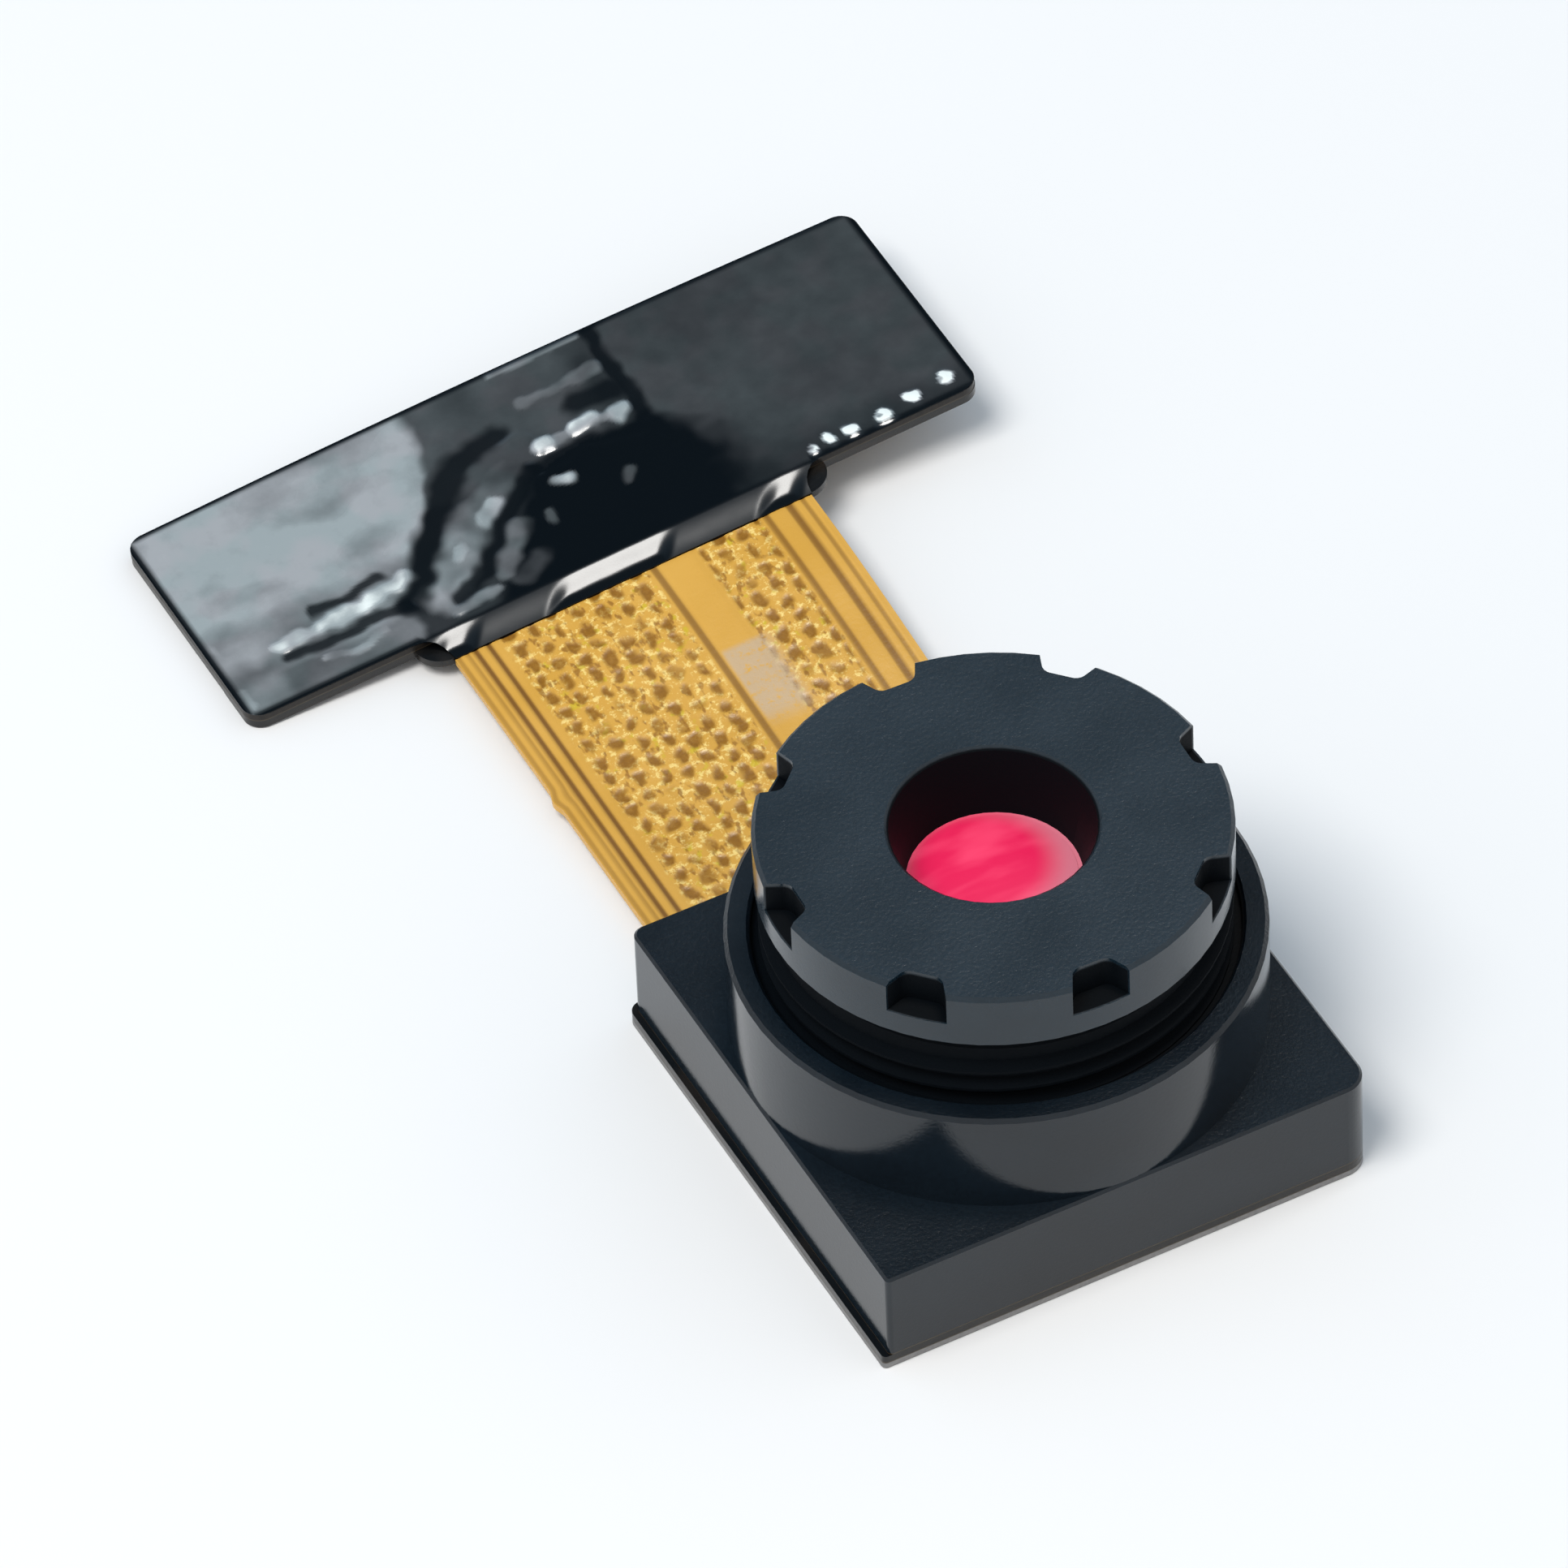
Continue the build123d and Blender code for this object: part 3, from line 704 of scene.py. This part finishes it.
def gold_plating():
    """Gold over nickel, brushed a little by the socket."""
    finish, tree, shader = new_finish("gold_plating", Metallic=1.0)
    place = millimetres(tree)
    lines = noise(tree, stretch(tree, place, (22, 1.2, 22)), 1.0, detail=3.0)
    feed(tree, shader.inputs["Base Color"], tint(tree, lines, display(214, 160, 64), display(244, 204, 116)))
    feed(tree, shader.inputs["Roughness"], between(tree, lines, 0.18, 0.34))
    feed(tree, shader.inputs["Normal"], raise_grain(tree, lines, 0.002))
    return finish


def stiffener_board():
    """Brown polyimide sheet, cut with a die that leaves faint upright lines."""
    finish, tree, shader = new_finish("stiffener_board", IOR=1.35)
    place = millimetres(tree)
    cuts = noise(tree, stretch(tree, place, (12, 12, 1.0)), 1.0, detail=3.0)
    marks = place_group(tree, soft_grain, Vector=place, Fine=8.0, Slow=0.8)
    feed(tree, shader.inputs["Base Color"], tint(tree, cuts, display(14, 14, 15), display(48, 42, 36)))
    feed(tree, shader.inputs["Roughness"], between(tree, marks["Patches"], 0.3, 0.45))
    feed(tree, shader.inputs["Normal"], raise_grain(tree, cuts, 0.004))
    return finish


give(cover_finish, "flex_tail", "tail_coverlay")
give(gold_plating(), "contact_fingers")
give(stiffener_board(), "connector_stiffener")
give(adhesive_finish, "stiffener_adhesive")

# ---------------------------------------------------------------------------
# Shield film
# Thin glossy black film laid over the bar by hand. It sinks between the bundles of
# traces below it, has small creases along the front, and folds down onto the neck.
# Its grey clouds are a painted reflection, and the white glints on its creases and ridges are painted
# highlights.
# ---------------------------------------------------------------------------

FILM_THICKNESS = 0.03
FILM_CELL = 0.042
FILM_TOP = BAR_THICKNESS - flex_middle_in_bar
FILM_LEVEL = FILM_TOP - 0.008
TAB_TOP = FLEX_THICKNESS / 2 + FILM_THICKNESS
BAR_BOW = 0.09
BAR_CORNER = 0.30
TAB_FILLET = 0.45


def film_outline():
    """The film's outline as points round it: the bar with its bowed rear edge, and the tab on the neck."""
    points = []

    def turn(x, y, radius, first, last):
        for step in range(7):
            angle = math.radians(first + (last - first) * step / 6)
            points.append((x + radius * math.cos(angle), y + radius * math.sin(angle)))

    left, right = NECK_CENTRE - bar_centre - NECK_HALF, NECK_CENTRE - bar_centre + NECK_HALF
    inset = BAR_HALF - BAR_CORNER
    points.append((left, tab_front))
    points.append((right, tab_front))
    turn(right + TAB_FILLET, bar_front - TAB_FILLET, TAB_FILLET, 180, 90)
    turn(inset, bar_front + BAR_CORNER, BAR_CORNER, -90, 0)
    turn(inset, bar_back - BAR_BOW - BAR_CORNER, BAR_CORNER, 0, 90)
    for step in range(1, 24):
        share = 1 - step / 12
        points.append((inset * share, bar_back - BAR_BOW * share * share))
    turn(-inset, bar_back - BAR_BOW - BAR_CORNER, BAR_CORNER, 90, 180)
    turn(-inset, bar_front + BAR_CORNER, BAR_CORNER, 180, 270)
    turn(left - TAB_FILLET, bar_front - TAB_FILLET, TAB_FILLET, 90, 0)
    return points


# Ridges: their route across and along the flex, half width, rise, and the strength of the painted reflection
# on them at each end, which above 1 is a painted highlight
FILM_RIDGES = [
    (
        [(-2.62, 12.55), (-2.10, 13.11), (-1.55, 13.69), (-0.95, 14.18), (-0.30, 14.62)],
        0.52, 0.032, 0.80, 0.08,
    ),
    ([(-2.12, 13.08), (-2.00, 13.20)], 0.22, 0.006, 0.95, 0.95),
    ([(-1.42, 13.60), (-1.15, 13.84)], 0.24, 0.008, 1.05, 1.05),
    ([(-1.62, 12.50), (-1.40, 12.85), (-1.05, 13.25)], 0.24, 0.020, 0.32, 0.36),
    ([(-1.45, 12.25), (-1.05, 12.50)], 0.26, 0.012, 0.12, 0.12),
    ([(-2.60, 12.20), (-1.90, 12.25)], 0.17, 0.020, 0.50, 0.62),
    ([(-5.25, 13.02), (-4.40, 13.08), (-3.80, 13.00), (-3.05, 13.18)], 0.24, 0.024, 1.45, 1.60),
    ([(-4.65, 12.43), (-4.20, 12.34), (-3.70, 12.50)], 0.16, 0.020, 0.80, 0.72),
    ([(0.05, 14.48), (0.12, 14.49)], 0.23, 0.034, 1.60, 1.60),
    ([(0.62, 14.50), (0.88, 14.50)], 0.23, 0.036, 1.70, 1.70),
    ([(1.25, 14.44), (1.42, 14.50)], 0.22, 0.034, 1.30, 1.30),
    ([(0.00, 14.46), (1.45, 14.46)], 0.16, 0.020, 0.75, 0.75),
    ([(0.20, 15.40), (1.50, 15.42)], 0.20, 0.020, 0.42, 0.34),
    ([(0.00, 16.20), (1.50, 16.21)], 0.09, 0.012, 0.62, 0.55),
    ([(-0.10, 13.70), (0.05, 13.67)], 0.19, 0.028, 0.95, 1.55),
    ([(-0.58, 13.05), (-0.52, 13.18)], 0.14, 0.018, 0.26, 0.26),
    ([(0.78, 13.15), (0.86, 13.25)], 0.14, 0.016, 0.18, 0.18),
    ([(-6.10, 13.30), (-6.12, 13.95)], 0.14, 0.004, 0.85, 0.70),
    ([(-6.12, 12.15), (-6.10, 12.50)], 0.14, 0.004, 0.80, 0.80),
]
# Grooves: route, half width and depth
FILM_GROOVES = [
    ([(-5.20, 12.76), (-4.50, 12.70), (-3.80, 12.76), (-3.10, 12.66)], 0.17, 0.010),
    (
        [(-3.10, 12.66), (-2.86, 12.96), (-2.48, 13.60), (-1.68, 14.42), (-1.20, 14.85), (-0.50, 15.10)],
        0.34, 0.012,
    ),
    ([(-4.50, 13.40), (-3.90, 13.33), (-3.30, 13.43)], 0.15, 0.006),
    ([(-2.35, 12.42), (-1.80, 12.72), (-1.45, 13.15), (-1.05, 13.55), (-0.30, 14.14)], 0.20, 0.010),
    ([(-0.30, 14.14), (0.60, 14.16), (1.40, 14.02)], 0.20, 0.010),
    ([(1.70, 16.20), (1.72, 14.90), (1.66, 14.20)], 0.20, 0.010),
    ([(0.85, 14.96), (1.45, 14.94)], 0.30, 0.010),
]
# Creases along the front edge: place across and along, radius and rise
FILM_CREASES = [
    (3.45, 12.13, 0.17, 0.030),
    (3.78, 12.16, 0.18, 0.032),
    (4.13, 12.18, 0.24, 0.040),
    (4.67, 12.15, 0.27, 0.044),
    (5.25, 12.25, 0.23, 0.040),
    (5.87, 12.32, 0.28, 0.046),
]
# Stretches of the fold that are creased steep enough to shine: from, to
FOLD_STRETCHES = [(-3.15, -2.22), (-1.10, 1.08), (2.50, 3.35)]
FOLD_STEEP = math.tan(math.radians(21))
FOLD_GENTLE = math.tan(math.radians(12.8))
CLOUD_EDGE = [(-3.10, 12.55), (-3.00, 12.96), (-2.62, 13.69), (-1.90, 14.42), (-1.50, 14.95), (-1.45, 16.60)]
DARK_ZONE = [(-1.75, 12.0), (-0.75, 13.45), (-0.15, 14.15), (1.25, 14.15)]


def along_route(across, along, route):
    """The distance to a route, and the share of the way along it of its nearest point."""
    nearest, place, passed = 1e9, 0.0, 0.0
    for (x0, y0), (x1, y1) in zip(route, route[1:]):
        dx, dy = x1 - x0, y1 - y0
        share = min(max(((across - x0) * dx + (along - y0) * dy) / (dx * dx + dy * dy), 0), 1)
        distance = math.hypot(across - x0 - share * dx, along - y0 - share * dy)
        if distance < nearest:
            nearest, place = distance, passed + share * math.hypot(dx, dy)
        passed += math.hypot(dx, dy)
    return nearest, place / passed


def across_at(route, along):
    """Where a route that climbs along the flex crosses a given place along it."""
    for (x0, y0), (x1, y1) in zip(route, route[1:]):
        if along <= y1:
            return x0 + (x1 - x0) * min(max((along - y0) / (y1 - y0), 0), 1)
    return route[-1][0]


def edge_gap(across, along):
    """How far a point of the bar is from the film's nearest edge, apart from the fold."""
    back = bar_back - BAR_BOW * (across / BAR_HALF) ** 2
    side = BAR_HALF - abs(across)
    front = along - bar_front
    if abs(across) < NECK_HALF + 0.3:
        front += 3 * smooth((NECK_HALF + 0.3 - abs(across)) / 0.3)
    return min(side, back - along, front)


def fold_height(across, along):
    """The film's level where it folds from the bar down onto the neck."""
    steep = 0.0
    for low, high in FOLD_STRETCHES:
        slant = across - 0.9 * (along - bar_front)
        steep = max(steep, smooth((slant - low) / 0.35) * smooth((high - slant) / 0.35))
    steep *= smooth(1.25 + 1.1 * wander(across, along * 2.5, 1.7, 31.5))
    steep *= 1 + 0.25 * wander(across, along, 2.2, 32.5)
    slope = FOLD_GENTLE + (FOLD_STEEP - FOLD_GENTLE) * steep
    run = (FILM_LEVEL - TAB_TOP) / slope
    share = min(max((along - (bar_front - 0.005 - run)) / run, 0), 1)
    return TAB_TOP + (FILM_LEVEL - TAB_TOP) * (0.8 * share + 0.2 * smooth(share))


def film_point(across, along):
    """The film's top surface above the middle of the flex, and the strength of the painted reflection there;
    above 1 it is a painted highlight.
    """
    height = fold_height(across, along)
    gap = edge_gap(across, along)
    on_bar = smooth((along - bar_front) / 0.10)
    shift = smooth((gap - 0.05) / 0.4) * on_bar
    across, along = (
        across + shift * (0.12 * wander(across, along, 1.6, 91.5) + 0.07 * wander(across, along, 4.2, 92.5)),
        along + shift * (0.10 * wander(across, along, 1.5, 93.5) + 0.07 * wander(across, along, 4.4, 94.5)),
    )
    relief, painted_reflection = 0.0, 0.0
    # Painted reflection: grey clouds over the left part of the film, fainter slate greys further right.
    cloud_edge = across_at(CLOUD_EDGE, along) + 0.10 * wander(across, along, 2.0, 41.5)
    in_cloud = smooth((cloud_edge - across) / 0.22)
    streaks = wander(across * 0.7, along * 1.6, 1.5, 52.5)
    clouds = 0.74 + 0.75 * wander(across, along, 0.62, 51.5) + 0.38 * streaks
    clouds = min(max(clouds, 0.28), 1.02)
    clouds *= 1 - 0.45 * smooth((12.62 - along) / 0.15) * smooth((across + 5.6) / 0.3)
    painted_reflection = in_cloud * clouds
    low = smooth((14.2 - along) / 0.9)
    past_slate = across - 1.72 - 0.2 * low + 0.25 * low * wander(across, along, 3.0, 64.5)
    in_slate = smooth(past_slate / (0.16 + 0.9 * low))
    dark_edge = across_at(DARK_ZONE, along)
    above_dark = smooth((along - 14.15) / 0.2)
    right_of_cloud = (1 - in_cloud) * (1 - in_slate)
    painted_reflection += right_of_cloud * above_dark * (0.085 + 0.06 * wander(across, along, 1.7, 61.5))
    painted_reflection += right_of_cloud * 0.08 * smooth((dark_edge - across) / 0.4)
    slate = 0.135 + 0.03 * wander(across, along, 0.8, 62.5) + 0.02 * wander(across, along, 3.5, 63.5)
    painted_reflection += in_slate * slate * (1 - 0.45 * smooth((12.8 - along) / 0.7))
    for route, half_width, rise, first, last in FILM_RIDGES:
        nearest, place = along_route(across, along, route)
        share = smooth((1 - nearest / half_width) * 1.4)
        beads = 0.85 + 0.45 * wander(across, along, 3.4, 71.5)
        relief += rise * share * beads
        # Ridges carry painted reflection, which turns into a painted highlight where the value passes 1.
        painted_reflection = max(painted_reflection, share * beads * (first + (last - first) * place))
    for route, half_width, depth in FILM_GROOVES:
        share = smooth((1 - along_route(across, along, route)[0] / half_width) * 1.5)
        relief -= depth * share
        painted_reflection *= 1 - 0.9 * share
    for x, y, radius, rise in FILM_CREASES:
        share = smooth(1 - math.hypot(across - x, along - y) / radius)
        relief += rise * share
        # Each crease crest gets a painted white highlight.
        painted_reflection = max(painted_reflection, 2.4 * smooth((share - 0.35) / 0.3) * smooth(0.9 + wander(across, along, 6.0, 72.5)))
    relief += 0.003 * wander(across, along, 0.8, 81.5)
    if along > bar_front - 0.02:
        painted_reflection *= smooth((gap - 0.05) / 0.10)
        height -= 0.016 * smooth(1 - gap / 0.12)
        relief *= smooth((gap - 0.02) / 0.08)
    painted_reflection *= smooth((along - bar_front + 0.02) / 0.10)
    return height + relief * on_bar, painted_reflection


def shield_film_finish():
    """Glossy black film, tinted grey by a painted reflection and near white by painted highlights, and rougher
    where these lie.
    """
    finish, tree, shader = new_finish("shield_film", IOR=1.36)
    flat, across, along = flat_axes(tree)
    painted_reflection = own_value(tree, "painted_reflection")
    fine = noise(tree, flat, 2.6, detail=4.0, roughness=0.6)
    uneven = calc(tree, "MULTIPLY", painted_reflection, between(tree, fine, 0.75, 1.25))
    slow = ramp(tree, noise(tree, flat, 1.1), 0.4, 0.6)
    # Painted reflection: the black film is tinted grey by the painted reflection value.
    cool = tint(tree, slow, display(150, 160, 163), display(158, 162, 166))
    grey = tint(tree, uneven, display(6, 12, 17), cool)
    # Painted highlights: above 1 the painted reflection turns near white.
    bright = ramp(tree, uneven, 1.05, 1.9)
    feed(tree, shader.inputs["Base Color"], tint(tree, bright, grey, display(232, 240, 238)))
    gloss = between(tree, ramp(tree, along, bar_front + 0.08, bar_front - 0.04), 0.08, 0.22)
    feed(tree, shader.inputs["Roughness"], calc(tree, "MULTIPLY_ADD", painted_reflection, 0.22, gloss))
    feed(tree, shader.inputs["Normal"], raise_grain(tree, noise(tree, flat, 1.4), 0.003))
    return finish


def make_film():
    """Cut the outline into small cells, press in the relief and give the sheet its thickness."""
    bm = bmesh.new()
    bm.faces.new([bm.verts.new((x, y, 0)) for x, y in film_outline()]).normal_update()
    cuts_across = int(2 * BAR_HALF / FILM_CELL)
    cuts_along = int((bar_back - tab_front) / FILM_CELL)
    cuts = [((-BAR_HALF + FILM_CELL * (step + 0.5), 0, 0), (1, 0, 0)) for step in range(cuts_across)]
    cuts += [((0, tab_front + FILM_CELL * (step + 0.5), 0), (0, 1, 0)) for step in range(cuts_along)]
    for place, normal in cuts:
        geometry = bm.verts[:] + bm.edges[:] + bm.faces[:]
        bmesh.ops.bisect_plane(bm, geom=geometry, dist=1e-5, plane_co=place, plane_no=normal)
    painted_reflection_layer = bm.verts.layers.float.new("painted_reflection")
    for vert in bm.verts:
        vert.co.z, vert[painted_reflection_layer] = film_point(vert.co.x, vert.co.y)
    upper = set(bm.verts)
    bmesh.ops.extrude_face_region(bm, geom=bm.faces[:], use_keep_orig=True)
    for vert in bm.verts:
        if vert not in upper:
            vert.co.z = FILM_TOP - FILM_THICKNESS if vert.co.y > bar_front else vert.co.z - FILM_THICKNESS / 2
    return lay_on_flex(bm, "black_shield_film", shield_film_finish())


film = make_film()
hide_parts("shield_film")
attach(film, "connector_end")

# ---------------------------------------------------------------------------
# Table, lights and camera
# A plain pale table, a small bright panel overhead and an even pale room that is dark
# on one side. The camera looks down on the front left corner of the head.
# ---------------------------------------------------------------------------

DARK_SIDE = (0.19, 0.62, 0.76)
DARK_SPREAD = (13, 27)
CAMERA_AZIMUTH = math.radians(-26.13)
CAMERA_ELEVATION = math.radians(46.20)
CAMERA_ROLL = math.radians(-2.54)
CAMERA_DISTANCE = 0.250
CAMERA_AIM = (-0.00319, 0.004488)
CAMERA_LENS = 391.2


def make_table():
    """A wide pale table top under the object."""
    bm = bmesh.new()
    bmesh.ops.create_grid(bm, x_segments=1, y_segments=1, size=2)
    mesh = bpy.data.meshes.new("table")
    bm.to_mesh(mesh)
    bm.free()
    finish, tree, shader = new_finish("table_top", Roughness=0.9, IOR=1.2)
    shade = noise(tree, millimetres(tree), 0.05)
    feed(tree, shader.inputs["Base Color"], tint(tree, shade, (0.86, 0.86, 0.86, 1), (0.88, 0.88, 0.88, 1)))
    mesh.materials.append(finish)
    table = bpy.data.objects.new("table", mesh)
    bpy.context.scene.collection.objects.link(table)
    table.location.z = -0.00001


def make_panel(name, direction, distance, width, height, radiance, lights_matt, shows_in_gloss):
    """A soft light panel that faces the object; radiance is what a mirror would show of it."""
    light = bpy.data.lights.new(name, "AREA")
    light.shape = "RECTANGLE"
    light.size = width
    light.size_y = height
    light.energy = radiance * math.pi * width * height
    light.color = (1.0, 0.975, 0.94)
    panel = bpy.data.objects.new(name, light)
    bpy.context.scene.collection.objects.link(panel)
    away = Vector(direction).normalized()
    panel.location = away * distance
    panel.rotation_euler = away.to_track_quat("Z", "Y").to_euler()
    panel.visible_diffuse = lights_matt
    panel.visible_glossy = shows_in_gloss


def make_room(pale, dark):
    """An even pale room: bluish light high up behind the object, with a dark place in the middle of it."""
    world = bpy.data.worlds.new("room")
    bpy.context.scene.world = world
    world.use_nodes = True
    tree = world.node_tree
    facing = tree.nodes.new("ShaderNodeVectorMath")
    facing.operation = "DOT_PRODUCT"
    feed(tree, facing.inputs[0], tree.nodes.new("ShaderNodeTexCoord").outputs["Generated"])
    facing.inputs[1].default_value = Vector(DARK_SIDE).normalized()
    near, far = (math.cos(math.radians(angle)) for angle in DARK_SPREAD)
    behind = ramp(tree, facing.outputs["Value"], math.cos(math.radians(60)), math.cos(math.radians(35)))
    background = tree.nodes["Background"]
    feed(tree, background.inputs["Color"], tint(tree, behind, (0.97, 0.985, 1, 1), (0.62, 0.86, 1.1, 1)))
    shade = ramp(tree, facing.outputs["Value"], far, near)
    feed(tree, background.inputs["Strength"], between(tree, shade, pale, dark))


def make_camera():
    """A long lens on the head, turned and rolled as it was held."""
    turn, rise = CAMERA_AZIMUTH, CAMERA_ELEVATION
    back = Vector((math.sin(turn) * math.cos(rise), -math.cos(turn) * math.cos(rise), math.sin(rise)))
    level = Vector((math.cos(turn), math.sin(turn), 0))
    upright = back.cross(level)
    right = level * math.cos(CAMERA_ROLL) + upright * math.sin(CAMERA_ROLL)
    up = back.cross(right)
    data = bpy.data.cameras.new("camera")
    data.lens = CAMERA_LENS
    data.sensor_width = 36
    data.clip_start = 0.01
    data.clip_end = 10
    camera = bpy.data.objects.new("camera", data)
    bpy.context.scene.collection.objects.link(camera)
    turned = Matrix((right, up, back)).transposed().to_4x4()
    turned.translation = back * CAMERA_DISTANCE + right * CAMERA_AIM[0] + up * CAMERA_AIM[1]
    camera.matrix_world = turned
    bpy.context.scene.camera = camera


make_table()
make_room(0.665, 0.12)
make_panel("left_panel", (-0.42, -0.12, 0.90), 0.30, 0.14, 0.12, 11.8, True, False)
make_panel("gleam_panel", (0.17, 0.0, 0.985), 0.32, 0.10, 0.07, 48.0, False, True)
make_camera()
bpy.context.scene.view_settings.view_transform = "Standard"
